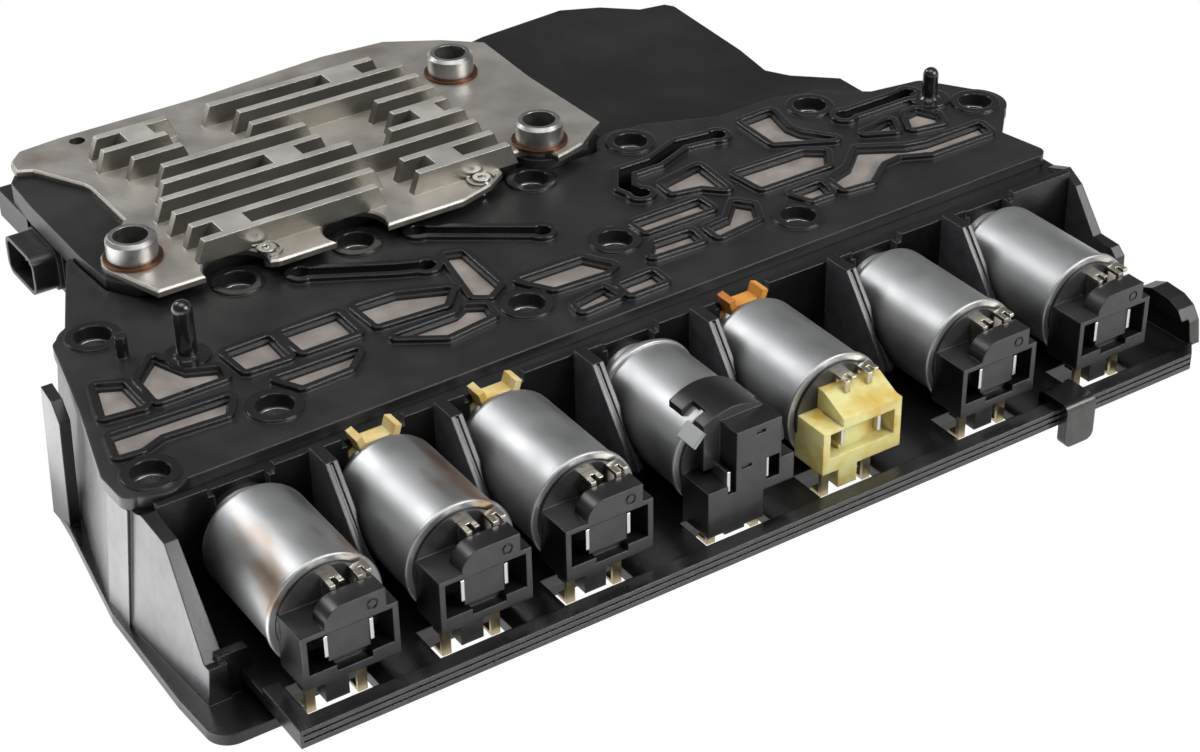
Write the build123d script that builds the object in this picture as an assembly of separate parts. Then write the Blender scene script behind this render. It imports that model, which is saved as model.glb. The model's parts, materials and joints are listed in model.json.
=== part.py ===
"""Transmission control module: seven solenoids, a filter plate and finned electronics on one body.

X runs along the row of solenoids, +Y from the solenoids to the heat sink, +Z up.
Plan positions are measured from the first mounting bushing, heights from the underside.
"""
import math
import os

from build123d import *

# Heights above the underside
FOOT_DEPTH = 4.6
BASE_THICK = 2.4
DECK_HEIGHT = 26.5
DECK_THICK = 3.5
PLATE_THICK = 2.5
PAD_DROP = 1.6
SINK_GAP = 2.3
SINK_THICK = 1.5
SINK_EDGE_CHAMFER = 0.4
FIN_HEIGHT = 4.6
BUSHING_RISE = 5.2
BASE_TOP = FOOT_DEPTH + BASE_THICK
PLATE_TOP = DECK_HEIGHT + PLATE_THICK
SINK_BOTTOM = PLATE_TOP + SINK_GAP
SINK_TOP = SINK_BOTTOM + SINK_THICK

# Fits and walls
SLIP = 0.05
LOOSE = 0.3
WALL = 2.5

# Fasteners, all M6 in clearance holes
BUSHING_BORE_R = 3.5
BUSHING_R = 5.1
BUSHING_SHANK_R = 4.4
CRUSH_RING_WIDTH = 0.8
CRUSH_RING_THICK = 0.7
PLATE_HOLE_R = 3.6
SLEEVE_BORE_R = 3.3
SLEEVE_R = 4.4
COLUMN_HOLE_R = SLEEVE_R + SLIP
COLUMN_R = 5.9
BUSHING_CHAMFER = 0.7
BOSS_R = 5.4
BOSS_RISE = 0.5
LOBE_R = 6.9
BUSHINGS = [(0.0, 0.0), (92.7, 34.3), (91.4, -4.3)]
PLATE_HOLES = [
    (-16.6, -17.0), (-26.8, -64.0), (0.7, -57.6), (15.2, -14.2), (41.6, -14.0), (84.4, -12.0),
    (110.7, -10.1), (56.8, -53.8), (84.4, -43.1), (120.2, -56.3), (152.3, -18.7), (183.0, -38.1),
]

# Plan outlines
PLATE_OUTLINE = [
    (-34.0, -69.0), (179.5, -64.6), (180.5, -62.5), (178.6, -52.0), (186.0, -44.6), (187.4, -33.0),
    (180.5, -22.4), (168.0, -20.5), (158.5, -13.0), (147.3, -10.4), (133.0, -10.8), (118.0, -4.2),
    (106.0, -4.2), (103.0, -9.5), (-2.0, -9.5), (-2.0, 13.3), (-8.9, 13.3), (-19.5, -10.6),
    (-24.0, -15.0), (-28.8, -38.4), (-34.3, -60.0),
]
BODY_TOP_OUTLINE = [
    (-33.5, -68.4), (178.5, -64.2), (178.5, -52.0), (185.5, -44.0), (187.4, -38.0), (185.5, -32.5),
    (179.5, -23.4), (168.0, -21.5), (158.5, -14.0), (120.0, -10.0), (106.0, -10.0), (-2.4, -10.0),
    (-2.4, 12.6), (-8.6, 12.6), (-19.2, -11.0), (-23.6, -15.6), (-28.2, -38.4), (-33.5, -60.0),
]
FLARE = 2.6
FLARED_CORNERS = (0, 13, 14, 15, 16, 17)
PLATE_CORNER_R = 2.5
FLANGE_OUTLINE = [
    (-28.0, -20.0), (-20.0, -2.0), (-10.0, 10.0), (-6.0, 20.0), (-4.0, 27.5), (157.0, 27.5),
    (158.0, -8.0), (180.0, -25.0), (187.0, -38.0), (182.0, -50.0), (182.0, -68.2), (-28.0, -68.2),
]
SIDE_FLANGE_OUTLINE = [
    (-24.0, -104.6), (-36.8, -104.6), (-37.5, -90.7), (-36.9, -62.7), (-32.8, -34.4), (-32.0, -26.5),
    (-26.0, -12.0), (-22.0, -12.0), (-24.0, -70.0),
]
SIDE_FLANGE_THICK = 2.2
FOOT_OUTLINE = [
    (-25.0, -101.0), (168.0, -101.0), (168.0, -28.0), (150.0, -12.0), (104.0, -12.0), (104.0, 23.0),
    (4.0, 23.0), (-22.0, -24.0),
]
GROOVE_INSET = 2.0
GROOVE_WIDTH = 1.8
GROOVE_DEPTH = 1.4
FLANGE_CORNER_R = 4.5
PAD_OUTLINE = [
    (108.5, -1.5), (109.5, 45.5), (107.5, 54.8), (114.2, 56.4), (137.0, 58.3), (145.7, 54.2), (152.8, 47.7),
    (159.2, 46.6), (160.5, 44.5), (159.0, 15.8), (157.3, 4.1), (160.3, -1.2), (168.6, -8.9),
    (168.6, -19.0), (158.5, -12.0), (147.3, -9.4), (133.0, -9.8), (118.0, -3.2),
]
PAD_THICK = 3.0
PAD_BLOCK = (108.5, 155.0, -10.5, 26.0)

# Filter plate windows, slots and posts
WINDOWS = [
    [(-23.3, -34.0), (-19.4, -36.0), (-19.3, -44.5), (-26.0, -43.7)],
    [(-10.8, -31.4), (-15.6, -36.4), (-15.8, -44.3), (-3.1, -44.1), (-2.7, -41.1), (-8.0, -38.6)],
    [(-27.6, -50.4), (-5.4, -51.0), (-8.2, -55.4), (-20.6, -54.8), (-25.4, -56.8), (-29.0, -56.5)],
    [(1.5, -37.3), (10.0, -37.0), (9.8, -44.6), (2.0, -44.4)],
    [(13.3, -37.0), (24.5, -36.9), (24.5, -44.4), (13.6, -44.5)],
    [(5.3, -50.4), (21.4, -50.4), (17.2, -54.5), (7.8, -55.0)],
    [(29.3, -36.8), (37.4, -37.0), (47.0, -41.1), (43.2, -45.2), (29.6, -44.4)],
    [(30.4, -50.3), (43.4, -50.2), (46.4, -48.6), (49.3, -50.3), (48.5, -53.8), (38.1, -55.3)],
    [(53.4, -29.4), (56.2, -30.4), (55.6, -44.8), (52.0, -47.3), (50.1, -46.0)],
    [(60.4, -46.2), (74.4, -46.3), (77.6, -51.6), (75.5, -52.7), (64.2, -52.2)],
    [(64.6, -59.6), (71.4, -58.3), (71.8, -61.6), (64.2, -62.2)],
    [(75.4, -58.9), (82.6, -58.5), (82.5, -62.2), (75.2, -62.4)],
    [(91.2, -40.5), (106.8, -40.2), (106.9, -43.9), (91.3, -44.0)],
    [(105.3, -30.2), (115.4, -28.2), (114.6, -38.8), (111.1, -35.2), (105.0, -34.0)],
    [(86.8, -53.0), (89.8, -49.5), (98.0, -49.7), (97.6, -53.3)],
    [(102.4, -50.6), (107.7, -50.0), (112.6, -45.2), (114.6, -47.9), (112.2, -52.6), (102.2, -54.0)],
    [(135.6, -17.0), (143.0, -16.6), (141.2, -24.3), (141.9, -28.2), (146.4, -34.5), (135.2, -28.7)],
    [(120.4, -35.2), (137.6, -35.5), (141.0, -38.1), (137.8, -42.8), (121.1, -42.8)],
    [(124.9, -48.9), (131.6, -48.7), (130.8, -52.6), (126.3, -52.6)],
    [(153.9, -36.2), (161.4, -34.9), (159.4, -38.9)],
    [(166.6, -34.9), (169.6, -34.5), (171.4, -38.4), (170.0, -41.6), (163.6, -40.4)],
    [(135.2, -48.6), (141.3, -46.8), (147.8, -41.2), (156.4, -46.3), (161.3, -47.6), (175.9, -47.4),
     (175.2, -51.0), (159.3, -51.1), (152.7, -47.9), (147.5, -48.6), (140.6, -53.6), (134.8, -53.0)],
]
SLOTS = [
    [(26.4, -19.2), (42.9, -28.6), (48.0, -30.9)],
    [(53.6, -18.0), (73.9, -32.4)],
    [(127.0, -19.0), (118.2, -17.7), (109.2, -21.3), (101.6, -21.3), (97.9, -26.7), (99.0, -31.0)],
    [(155.0, -27.4), (173.0, -27.2)],
]
SLOT_WIDTH = 2.7
SLOT_END_R = 1.9
SLOT_DEPTH = 6.0
BEAD_WIDTH = 1.3
BEAD_INSET = 0.5
BEAD_HEIGHT = 1.0
SCREEN_THICK = 0.5
SCREEN_DEPTH = 0.7
POSTS = [(-5.0, -33.7, 2.0, 12.5), (175.6, -31.4, 1.7, 8.0)]
POST_COLLAR_R = 4.4
POST_COLLAR_RISE = 0.8
POST_ROOT = 0.6
STUB = (-14.6, -26.0)
STUB_R = 1.2
STUB_RISE = 4.5
RIM_WALL = 1.2
RIM_RISE = 1.4

# Heat sink
SINK_OUTLINE = [
    (-3.6, 52.4), (-1.0, 55.2), (8.5, 56.2), (41.6, 56.4), (73.2, 59.0), (88.5, 57.8), (100.0, 50.8),
    (107.5, 43.9), (106.4, 23.2), (107.0, -3.8), (103.6, -6.0), (98.3, -10.2), (94.0, -11.6),
    (90.8, -12.4), (79.0, -10.4), (73.0, -14.6), (65.0, -17.1),
    (23.0, -17.1), (16.0, -14.4), (-1.5, -14.4), (-6.1, -0.5), (-6.1, 1.5), (-5.0, 4.5), (4.9, 15.2),
    (4.9, 31.5), (4.4, 33.5), (-1.8, 45.5), (-4.9, 47.2), (-4.4, 51.0),
]
SCALLOP_R = 6.6
FIN_THICK = 1.9
FIN_PITCH = 6.5
FIN_FIRST_Y = -9.0
FIN_END_SLOPE = 1.8
FINS = [
    [(11.0, 49.5), (59.2, 80.8)],
    [(11.6, 52.3), (59.2, 80.8)],
    [(11.2, 80.8)],
    [(11.4, 54.4), (63.9, 81.4)],
    [(14.8, 50.5), (68.0, 81.0)],
    [(17.9, 50.6), (67.9, 81.5)],
    [(14.3, 25.3), (41.4, 81.9)],
    [(10.5, 24.9), (41.7, 81.5)],
    [(11.7, 27.9), (37.8, 77.4)],
]
# Each raised land joins a fin row to the row in front of it
LANDS = [(1, 15.8, 22.2), (1, 64.2, 70.5), (4, 37.2, 43.9), (4, 72.0, 77.7), (8, 16.8, 22.9), (8, 64.6, 72.3)]
RIVETS = [(22.8, -12.4), (72.4, -12.0)]
RIVET_HEAD_R = 1.9
RIVET_HOLE_R = 0.8
RIVET_SHANK_R = 0.9
RIVET_HEAD_RISE = 0.8
RIVET_SEAT_R = 3.2
RIVET_SEAT_WALL = 0.7
RIVET_SEAT_RISE = 0.5
SINK_PINHOLE = (11.2, 52.4)
SINK_PINHOLE_R = 1.7

# Electronics
ELECTRONICS_OUTLINE = [
    (-7.6, 9.0), (-7.4, 34.0), (-6.8, 45.4), (-3.4, 50.4), (-1.8, 54.2), (9.0, 55.0), (73.0, 57.0),
    (88.0, 56.0), (98.6, 49.6), (105.8, 43.0), (104.6, -5.6), (101.0, -8.4), (-3.0, -8.4), (-7.0, -2.0),
]
ELECTRONICS_RIM_DEPTH = 5.8
TUB = (7.5, 102.0, -5.4, 24.0)
TUB_COLUMN_WALL = 1.6
TUB_WEB = 3.0
RIM_THICK = 4.8
BOARD_LEDGE = 1.2
CORNER_WALL = (-7.2, 9.5, 38.0, 54.0, 20.0)
BOARD_THICK = 1.6
BOARD_MARGIN = 0.4
CHIPS = [(24.0, 8.0, 14.0), (48.0, 10.0, 18.0), (72.0, 8.0, 12.0), (36.0, 16.0, 5.0), (60.0, 16.0, 5.0)]
CHIP_LENGTH = 8.0
CHIP_RISE = 2.2

# Harness socket and the arm behind it
SOCKET_Y = 30.2
SOCKET_Z = 20.8
SOCKET_WIDTH = 14.6
SOCKET_HEIGHT = 8.8
SOCKET_CORNER_R = 2.6
SOCKET_WALL = 0.9
SOCKET_FACE_X = -12.6
SOCKET_ROOT_X = -6.6
SOCKET_FLOOR = 1.0
ARM_MARGIN = 0.6
ARM_END_X = 14.0
SOCKET_PIN_R = 0.45
SOCKET_PIN_DEPTH = 2.6
SOCKET_PIN_PITCH = 2.2
SOCKET_ROW_PITCH = 3.0
SOCKET_COLUMNS = 5
GASKET_THICK = 0.9
GASKET_RISE = 0.5

# Solenoids
SOLENOID_X = [-13.8, 12.4, 37.7, 68.0, 94.0, 127.3, 157.0]
SOLENOID_Z = 18.0
HOODED_NUMBER = 3
NYLON_NUMBER = 4
HORNED_NUMBERS = (1, 2, 4)
RING_Y = -102.0
RING_R = 11.0
CAN_R = 10.5
CAN_WALL = 0.9
CAN_LENGTH = 27.0
CAN_SHOULDER = 2.4
NECK_R = 7.6
NECK_LENGTH = 2.6
RING_THICK = 1.1
RING_LIP = 1.0
RING_ROUND = 0.35
NECK_OVERLAP = 0.5
NOSE_R = 5.6
NOSE_REACH = 11.0
NOSE_BORE_R = 1.5
NOSE_ROOT = 5.0
NOSE_GROOVES = (2.2, 6.0)
NOSE_GROOVE_WIDTH = 1.6
NOSE_GROOVE_DEPTH = 1.0
NOSE_END_GAP = 0.4
NOSE_COLLAR_R = 7.4
NOSE_COLLAR_THICK = 1.6
HORN_X = (-3.4, 3.4)
HORN_TOP = 10.8
HORN_DEPTH = 1.8
HORN_WIDTH = 1.4
HORN_LEAN = 18
HORN_HEIGHT = 4.0
HORN_BRIDGE = 1.8
HORN_ROOM = 1.9
COIL_LENGTH = 18.0
SPRING_ROOM = 3.4
TUBE_R = 4.3
ARMATURE_R = 4.2
ARMATURE_LENGTH = 11.0
ARMATURE_PIN_R = 1.0
ARMATURE_PIN_LENGTH = 14.0
ARMATURE_TRAVEL = 1.0
SPRING_R = 2.4
SPRING_WIRE_R = 0.35
SPRING_TURNS = 3.5

# Solenoid connectors, from the ring's centre
CAP_THICK = 2.6
CAP_RISE = 0.6
BOX_WIDTH = 18.3
BOX_TOP = 3.2
BOX_BOTTOM = -7.6
BOX_REACH = 8.5
BOX_WALL = 1.1
ROOM_DEPTH = 6.0
ROOM_TOP = 0.9
ROOM_HEIGHT = 7.1
PILLAR_X = (-4.1, 3.8)
PILLAR_RECESS = 0.5
PILLAR_HEIGHT = 6.1
HUMP_X = (-4.6, 7.0)
HUMP_RISE = 3.8
HUMP_DEPTH = 4.2
FACE_MARK_R = 1.1
TONGUE_X = (-5.4, -1.0)
TONGUE_DEPTH = 3.4
TONGUE_LOW = -11.6
STUB_DROP = 0.9
STUB_WIDTH = 1.8
STUB_SET_BACK = 1.4
PILLAR_LIP = 1.2
PILLAR_LIP_DEPTH = 2.1
MARK_X = 4.4
MARK_Z = 4.8
MARK_WALL = 0.4
MARK_DEPTH = 0.3
NYLON_STEP = 1.6
NYLON_BACK = (-2.4, 2.8)
NYLON_WALL = 1.6
NYLON_ROOM_Z = (-4.4, 1.0)
NYLON_PILLAR_SET_BACK = 1.8
TOWER_BACK = -0.6
TOWER_LOW = -11.0
TOWER_STEP = -1.2
TOWER_ARM = (10.0, -5.0, 0.6)
TOWER_ROOM_Z = (-3.0, 1.8)
TOWER_LEDGE_X = 3.2
TOWER_SLITS = [(-1.8, 0.4, 1.4), (1.4, 3.4, 7.7)]
SLIT_HEIGHT = 0.7
SLIT_DEPTH = 0.6
HOOD_NOTCH = (2.4, 3.4)
TOWER_X = (-3.0, 7.0)
TOWER_TOP = 9.6
HOOD_R = 11.6
HOOD_LEFT = -6.6
HOOD_FRONT = -3.4
HOOD_BACK = 7.4
LUG_X = (0.6, 5.8)
LUG_WIDTH = 3.0
LUG_SLOT = 0.9
LUG_THICK = 0.7
LUG_LOW = 3.3
LUG_TOP = 7.8
LUG_REACH = 3.5
LUG_BEND = 2.4
STAKE_ANGLE = -47
STAKE_WIDTH = 3.4
STAKE_THICK = 0.7
STAKE_REACH = 4.0
BLADE_THICK = 0.7
BLADE_X = (PILLAR_X[0] - BLADE_THICK / 2, PILLAR_X[1] + BLADE_THICK / 2)
BLADE_Z = (-2.6, 1.7)
BLADE_RECESS = 0.3
LEG_X = (-8.1, 1.7)
LEG_WIDTH = 1.8
LEG_THICK = 0.7
LEG_FOOT = 3.0
LEG_DROP = 4.4

# Oil channels in the underside
CHANNELS = [
    [(-14.0, -88.0), (-14.0, -42.0), (2.0, -38.0), (4.0, -24.0)],
    [(12.0, -90.0), (12.0, -66.0), (26.0, -58.0), (26.0, -24.0)],
    [(30.0, -92.0), (46.0, -92.0), (46.0, -72.0), (38.0, -62.0), (38.0, -30.0), (60.0, -24.0)],
    [(64.0, -90.0), (64.0, -70.0), (72.0, -60.0), (72.0, -22.0), (98.0, -22.0)],
    [(84.0, -90.0), (84.0, -62.0), (98.0, -52.0), (98.0, -32.0), (128.0, -32.0)],
    [(106.0, -92.0), (106.0, -46.0)],
    [(136.0, -88.0), (136.0, -46.0), (156.0, -46.0), (156.0, -88.0)],
    [(14.0, 4.0), (80.0, 4.0)],
]
CHANNEL_WIDTH = 3.6
CHANNEL_DEPTH = 3.4

# Bays, dividers and end walls
DIVIDER_X = [0.6, 26.0, 56.3, 82.6, 115.8, 145.3]
DIVIDER_THICK = 2.4
DIVIDER_SLOPE = [(-79.0, 29.2), (-92.0, 12.6)]
BAY_BACK_Y = -72.8
RAIL_WIDTH = 1.6
RAIL_RISE = 1.8
RAIL_GAP = 6.4
RAIL_STEP = 4.2
DIVIDER_GROOVE = (0.6, 0.6)
LEFT_WALL_X = (-32.4, -29.7)
LEFT_WALL_FOOT_X = (-36.0, -34.0)
LEFT_WALL_TOP_X = (-33.0, -31.4)
RIGHT_WALL_X = (179.0, 180.8)
RIGHT_WALL_DRAFT = 1.0
LEFT_WALL_PROFILE = [
    (-62.0, 2.2), (-62.0, 26.5), (-70.0, 26.5), (-72.0, 27.2), (-80.3, 26.2), (-93.9, 9.6), (-95.6, 9.6),
    (-95.6, 2.2),
]
RIGHT_WALL_PROFILE = [
    (-60.0, 7.0), (-60.0, 26.5), (-66.0, 26.5), (-71.0, 28.2), (-74.8, 25.8), (-81.3, 16.8), (-86.6, 16.6),
    (-88.4, 14.8), (-88.4, 7.0),
]
FRONT_STUB = (-31.0, -25.6, -95.0, -93.0)
FRONT_STUB_HEIGHT = 11.0

# Tray
TRAY_LEFT_X = -27.3
TRAY_RIGHT_X = 178.6
TRAY_FRONT_Y = -116.6
TRAY_CORNER = 5.0
TRAY_BACK_Y = -70.0
TRAY_RIM_WIDTH = 3.2
TRAY_RIM_RISE = 1.2
TRAY_GROOVE = 0.5
TRAY_GROOVE_LEVELS = (1.0, 2.3)
TRAY_RIM_BACK_Y = -103.0
TRAY_WINDOW = (-10.5, 3.8, -112.0, -103.6)
HOOK_X = (138.2, 145.6)
HOOK_THICK = 2.2
HOOK_TOP_RISE = 1.6
HOOK_BOTTOM = 0.2
HOOK_REAR_Y = 3.8
HOOK_BEND_R = 1.5
HOOK_CORNER_R = 1.8
TRAY_END_X = (176.8, 179.4)
TRAY_END_LIP_X = 175.0
TRAY_END_LIP_LOW = 12.6
TRAY_END_PROFILE = [
    (-97.4, 7.0), (-97.4, 12.4), (-99.6, 14.9), (-102.8, 16.2), (-107.6, 15.9), (-110.4, 14.6),
    (-112.2, 12.0), (-113.0, 7.0),
]
EAR_PROFILE = [(-34.4, 1.0), (-34.0, 24.6), (-31.0, 27.6), (-26.5, 28.6), (-26.5, 1.0)]
EAR_X = (-31.2, -29.0)
EAR_DRAFT = 1.4


def prism(points, low, high):
    """A straight block with the given plan outline."""
    return Pos(Z=low) * extrude(make_face(Polyline(*points, close=True)), high - low)


def block(x0, x1, y0, y1, z0, z1):
    """A rectangular block between two corners."""
    return Pos((x0 + x1) / 2, (y0 + y1) / 2, (z0 + z1) / 2) * Box(x1 - x0, y1 - y0, z1 - z0)


def drum(x, y, radius, low, high):
    """An upright cylinder."""
    return Pos(x, y, (low + high) / 2) * Cylinder(radius, high - low)


def barrel(radius, y0, y1, x=0.0, z=0.0):
    """A cylinder along Y between two planes."""
    return Pos(x, (y0 + y1) / 2, z) * Rot(X=90) * Cylinder(radius, y1 - y0)


def slab(face, low, high):
    """A sketch face raised between two heights."""
    return Pos(Z=low) * extrude(face, high - low)


def side_profile(points, x0, x1):
    """A block whose outline is drawn in the YZ plane."""
    wire = Polyline(*[(x0, y, z) for y, z in points], close=True)
    return extrude(make_face(wire), x1 - x0, dir=(1, 0, 0))


def track(points, width):
    """The face swept by a round pen along a few points."""
    face = None
    for start, end in zip(points, points[1:]):
        length = math.dist(start, end)
        angle = math.degrees(math.atan2(end[1] - start[1], end[0] - start[0]))
        middle = Pos((start[0] + end[0]) / 2, (start[1] + end[1]) / 2)
        run = middle * Rot(Z=angle) * Rectangle(length, width)
        for x, y in (start, end):
            run += Pos(x, y) * Circle(width / 2)
        face = run if face is None else face + run
    return face


def outline_face(points, grow=0.0):
    """A face with the given outline, grown or shrunk by a margin with round corners."""
    face = make_face(Polyline(*points, close=True))
    return offset(face, grow, kind=Kind.ARC) if grow else face


def seat_solenoid(shape, number):
    """Moves a piece from the solenoid's own frame, ring centre at zero, to its bay."""
    return Pos(SOLENOID_X[number], RING_Y, SOLENOID_Z) * shape


def make_body_block():
    """The valve block under the deck, drafted outward on its left side."""
    foot = [
        (x - FLARE, y) if i in FLARED_CORNERS else (x, y)
        for i, (x, y) in enumerate(BODY_TOP_OUTLINE)
    ]
    low = Pos(Z=SIDE_FLANGE_THICK) * make_face(Polyline(*foot, close=True))
    high = Pos(Z=DECK_HEIGHT) * make_face(Polyline(*BODY_TOP_OUTLINE, close=True))
    return loft([low, high], ruled=True)


def make_left_wall():
    """The left end wall, drafted and slightly turned, cut to its sloping profile."""
    back, front = LEFT_WALL_PROFILE[0][0], LEFT_WALL_PROFILE[-1][0]
    low, high = LEFT_WALL_PROFILE[0][1], max(z for _, z in LEFT_WALL_PROFILE)
    inner = LEFT_WALL_X[1]
    faces = []
    for level, (x_back, x_front) in ((low, LEFT_WALL_FOOT_X), (high, LEFT_WALL_TOP_X)):
        corners = [(inner, front), (x_front, front), (x_back, back), (inner, back)]
        faces.append(Pos(Z=level) * make_face(Polyline(*corners, close=True)))
    wall = loft(faces, ruled=True)
    return wall & side_profile(LEFT_WALL_PROFILE, LEFT_WALL_FOOT_X[0] - WALL, inner + WALL)


def make_right_wall():
    """The right end wall, thicker at its foot, cut to its sloping profile."""
    back, front = RIGHT_WALL_PROFILE[0][0], RIGHT_WALL_PROFILE[-1][0]
    low, high = RIGHT_WALL_PROFILE[0][1], max(z for _, z in RIGHT_WALL_PROFILE)
    inner, outer = RIGHT_WALL_X
    faces = []
    for level, reach in ((low, outer + RIGHT_WALL_DRAFT), (high, outer)):
        corners = [(inner, front), (reach, front), (reach, back), (inner, back)]
        faces.append(Pos(Z=level) * make_face(Polyline(*corners, close=True)))
    wall = loft(faces, ruled=True)
    return wall & side_profile(RIGHT_WALL_PROFILE, inner - WALL, outer + 2 * WALL)


def make_dividers():
    """The ribs between the bays, with a fine groove along each sloping top."""
    (back_y, top_z), (front_y, low_z) = DIVIDER_SLOPE
    rib = [(BAY_BACK_Y, BASE_TOP), (BAY_BACK_Y, top_z), (back_y, top_z), (front_y, low_z),
           (front_y, BASE_TOP)]
    width, depth = DIVIDER_GROOVE
    groove = [(back_y, top_z), (back_y, top_z - depth), (front_y, low_z - depth), (front_y, low_z)]
    ribs = []
    for x in DIVIDER_X:
        wall = side_profile(rib, x - DIVIDER_THICK / 2, x + DIVIDER_THICK / 2)
        ribs.append(wall - side_profile(groove, x - width / 2, x + width / 2))
    return ribs


def make_housing():
    """The moulded solenoid housing."""
    body = make_body_block()
    body += slab(outline_face(FLANGE_OUTLINE), FOOT_DEPTH, BASE_TOP)
    side_flange = slab(outline_face(SIDE_FLANGE_OUTLINE), 0, SIDE_FLANGE_THICK)
    corner = side_flange.edges().filter_by(Axis.Z).sort_by(lambda e: e.center().X + e.center().Y)[0]
    body += fillet(corner, FLANGE_CORNER_R)
    body += slab(outline_face(FOOT_OUTLINE), 0, FOOT_DEPTH)
    groove = outline_face(FOOT_OUTLINE, -GROOVE_INSET)
    groove -= outline_face(FOOT_OUTLINE, -GROOVE_INSET - GROOVE_WIDTH)
    body -= slab(groove, 0, GROOVE_DEPTH)
    for points in CHANNELS:
        body -= slab(track(points, CHANNEL_WIDTH), 0, CHANNEL_DEPTH)
    # Pad and the block under it
    pad_low = PLATE_TOP - PAD_DROP - PAD_THICK
    body += prism(PAD_OUTLINE, pad_low, PLATE_TOP - PAD_DROP)
    body += block(*PAD_BLOCK, BASE_TOP, pad_low)
    # Ledge and back wall of the bays
    left, right = LEFT_WALL_X[0], RIGHT_WALL_X[1]
    back_wall = [(left, BAY_BACK_Y), (right, BAY_BACK_Y), (right, -64.0), (left, -67.0)]
    body += prism(back_wall, BASE_TOP, DECK_HEIGHT)
    for start, end in rail_spans():
        body += block(start, end, BAY_BACK_Y, BAY_BACK_Y + RAIL_WIDTH, DECK_HEIGHT, DECK_HEIGHT + RAIL_RISE)
    for x, y in PLATE_HOLES:
        body += drum(x, y, COLUMN_R, SIDE_FLANGE_THICK, DECK_HEIGHT)
    for rib in make_dividers():
        body += rib
    body += make_left_wall()
    body += make_right_wall()
    x0, x1, y0, y1 = FRONT_STUB
    body += block(x0, TRAY_LEFT_X - SLIP, y0, y1, SIDE_FLANGE_THICK, FRONT_STUB_HEIGHT)
    body += block(x0, x1, y0, y1, BASE_TOP, FRONT_STUB_HEIGHT)
    body += make_ear()
    for number in range(len(SOLENOID_X)):
        body -= seat_solenoid(make_bay_cutter(), number)
    for points in SLOTS:
        body -= slab(slot_face(points), PLATE_TOP - SLOT_DEPTH, DECK_HEIGHT)
    for x, y in PLATE_HOLES:
        body -= drum(x, y, COLUMN_HOLE_R, 0, DECK_HEIGHT + BOSS_RISE)
    for x, y in BUSHINGS:
        body -= drum(x, y, BUSHING_BORE_R, 0, DECK_HEIGHT)
        body -= drum(x, y, BUSHING_SHANK_R + TUB_COLUMN_WALL + LOOSE, BASE_TOP, DECK_HEIGHT)
    return body


def make_bolt_sleeves():
    """The steel sleeves that line the housing's bolt holes."""
    return Compound([
        drum(x, y, SLEEVE_R, SIDE_FLANGE_THICK, DECK_HEIGHT)
        - drum(x, y, SLEEVE_BORE_R, SIDE_FLANGE_THICK, DECK_HEIGHT)
        for x, y in PLATE_HOLES
    ])


def rail_spans():
    """The stretches of rail on the ledge between neighbouring solenoids."""
    starts = [LEFT_WALL_X[1]] + [x + RAIL_GAP for x in SOLENOID_X]
    ends = [x - RAIL_GAP for x in SOLENOID_X] + [RIGHT_WALL_X[0]]
    return list(zip(starts, ends))


def make_ear():
    """The upright ear beside the body's left wall, leaning with its draft."""
    low, high = EAR_PROFILE[0][1], max(z for _, z in EAR_PROFILE)
    (y0, _), (y1, _) = EAR_PROFILE[0], EAR_PROFILE[-1]
    x0, x1 = EAR_X
    foot = make_face(Polyline((x0 - EAR_DRAFT, y0), (x1 - EAR_DRAFT, y0), (x1 - EAR_DRAFT, y1),
                              (x0 - EAR_DRAFT, y1), close=True))
    tip = make_face(Polyline((x0, y0), (x1, y0), (x1, y1), (x0, y1), close=True))
    ear = loft([Pos(Z=low) * foot, Pos(Z=high) * tip], ruled=True)
    return ear & side_profile(EAR_PROFILE, x0 - 2 * EAR_DRAFT, x1 + EAR_DRAFT)


def make_bay_cutter():
    """The room that a solenoid takes out of the bay's back wall and the dividers."""
    rear = CAN_LENGTH + NECK_LENGTH
    back = rear + NOSE_COLLAR_THICK
    room = barrel(RING_R + LOOSE, 0, CAN_LENGTH + LOOSE)
    room += barrel(NOSE_COLLAR_R + LOOSE, CAN_LENGTH, back)
    room += barrel(NOSE_R + SLIP, rear, rear + NOSE_REACH)
    x0, x1 = HORN_X
    room += block(x0 - HORN_ROOM, x1 + HORN_ROOM, CAN_LENGTH, back, 0, HORN_TOP + HORN_ROOM)
    return room


def slot_face(points, margin=0.0):
    """One slot's outline with its round ends."""
    face = track(points, SLOT_WIDTH + 2 * margin)
    for x, y in (points[0], points[-1]):
        face += Pos(x, y) * Circle(SLOT_END_R + margin)
    return face


def make_plate_blank():
    """The plate's flat outline with its rounded corners, lobes and cut-out for the electronics."""
    face = offset(outline_face(PLATE_OUTLINE, -PLATE_CORNER_R), PLATE_CORNER_R, kind=Kind.ARC)
    for x, y in PLATE_HOLES:
        face += Pos(x, y) * Circle(LOBE_R)
    return face - outline_face(ELECTRONICS_OUTLINE, LOOSE)


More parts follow.
